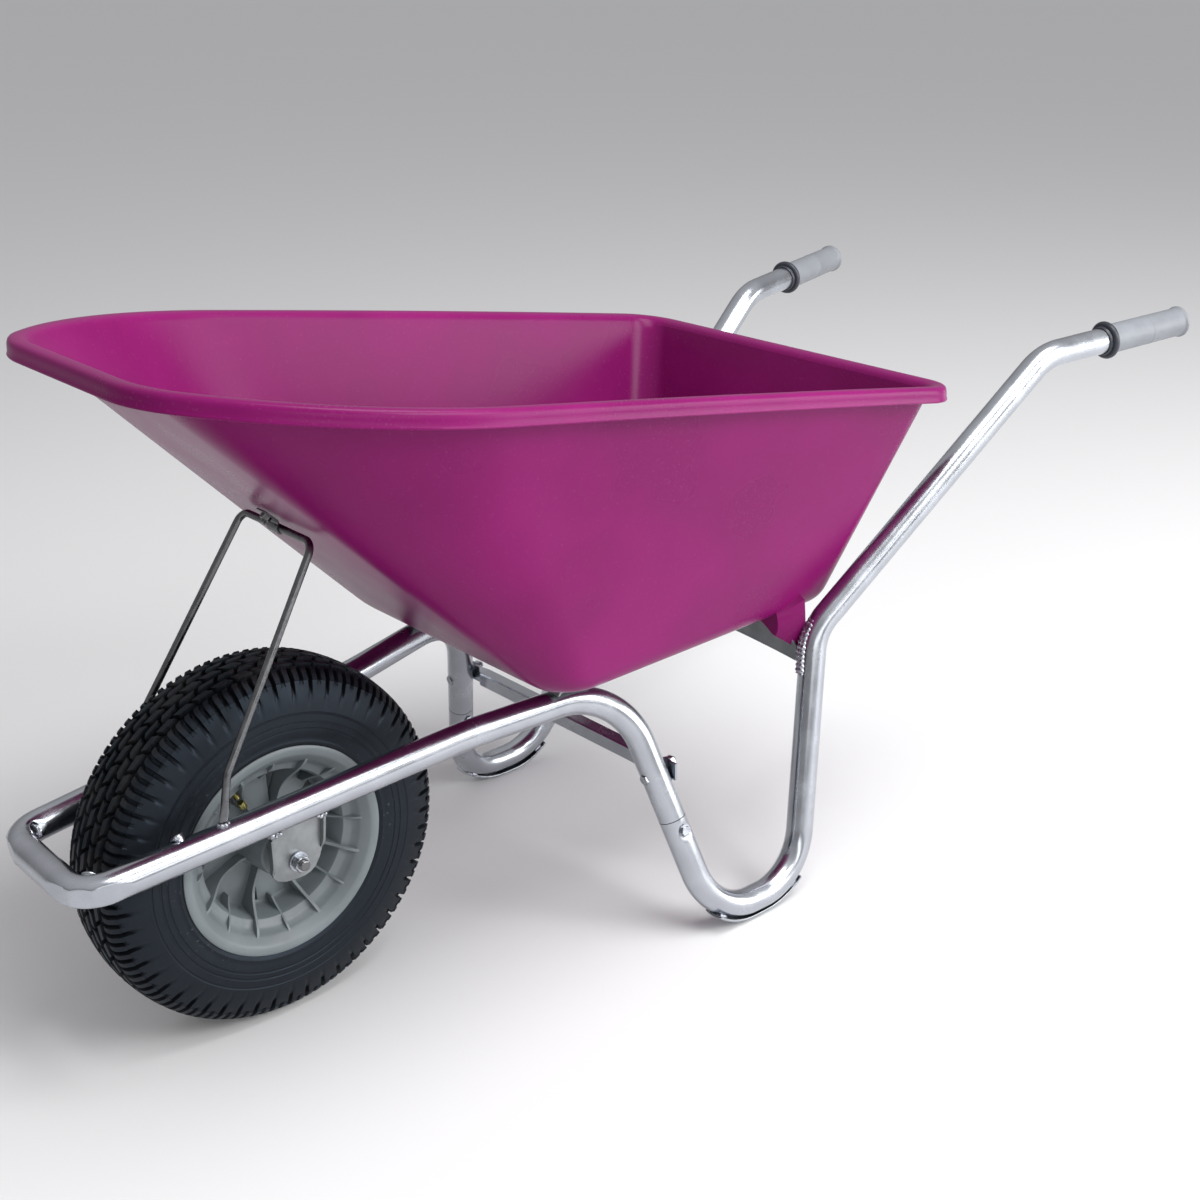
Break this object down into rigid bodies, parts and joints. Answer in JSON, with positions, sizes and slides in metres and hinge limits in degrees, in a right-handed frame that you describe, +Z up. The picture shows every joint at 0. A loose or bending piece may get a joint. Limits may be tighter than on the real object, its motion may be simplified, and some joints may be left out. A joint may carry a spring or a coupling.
{
  "type": "wheelbarrow",
  "caption": "Garden wheelbarrow: moulded plastic tray on a bent steel tube frame, one pneumatic wheel on a fixed axle, leg loops as stands and two rear handles with grips.",
  "frame": {"origin": "on the floor, below the middle of the object's box", "axes": "+Z up; +X from the wheel to the handles; +Y to the user's right"},
  "size_m": [1.4621, 0.6276, 0.7369],
  "materials": {
    "purple_plastic": "satin-gloss moulded magenta-purple plastic",
    "zinc_tube": "bright zinc-plated steel tube and sheet",
    "steel": "plain bright steel",
    "grey_plastic": "grey moulded plastic, slightly grainy",
    "grip_plastic": "soft grey moulded plastic",
    "dark_plastic": "charcoal moulded plastic",
    "rubber": "black tyre rubber",
    "brass": "dull brass"
  },
  "bodies": {
    "frame": {"tray": "purple_plastic", "front_frame_tube": "zinc_tube", "rear_frame_tube_left": "zinc_tube", "splice_sleeve_left": "steel", "splice_bolt_left": "steel", "splice_nut_left": "steel", "leg_skid_left": "zinc_tube", "rear_frame_tube_right": "zinc_tube", "splice_sleeve_right": "steel", "splice_bolt_right": "steel", "splice_nut_right": "steel", "leg_skid_right": "zinc_tube", "brace_bolt_left": "steel", "brace_nut_left": "steel", "brace_bolt_right": "steel", "brace_nut_right": "steel", "leg_brace": "zinc_tube", "rear_cross_plate": "zinc_tube", "tray_bracket_left": "steel", "tray_bracket_right": "steel", "tray_bolt_rear_left": "steel", "tray_nut_rear_left": "steel", "tray_bolt_front_left": "steel", "tray_bolt_rear_right": "steel", "tray_nut_rear_right": "steel", "tray_bolt_front_right": "steel", "stay_rod": "steel", "stay_clip": "steel", "stay_nut": "steel", "stay_bolt": "steel", "grip_left": "grip_plastic", "grip_collar_left": "dark_plastic", "grip_right": "grip_plastic", "grip_collar_right": "dark_plastic", "axle": "steel", "axle_spacer_left": "steel", "axle_washer_left": "steel", "axle_nut_left": "steel", "axle_bracket_left": "zinc_tube", "axle_spacer_right": "steel", "axle_washer_right": "steel", "axle_nut_right": "steel", "axle_bracket_right": "zinc_tube"},
    "wheel": {"wheel_rim": "grey_plastic", "wheel_bearing_left": "steel", "wheel_bearing_right": "steel", "tyre": "rubber", "inner_tube": "rubber", "valve_stem": "brass", "valve_cap": "brass"}
  },
  "joints": [
    {"name": "wheel_spin", "type": "hinge", "parent": "frame", "child": "wheel", "pos_m": [-0.483, 0, 0.2], "axis": [0, 1, 0], "continuous": true}
  ]
}
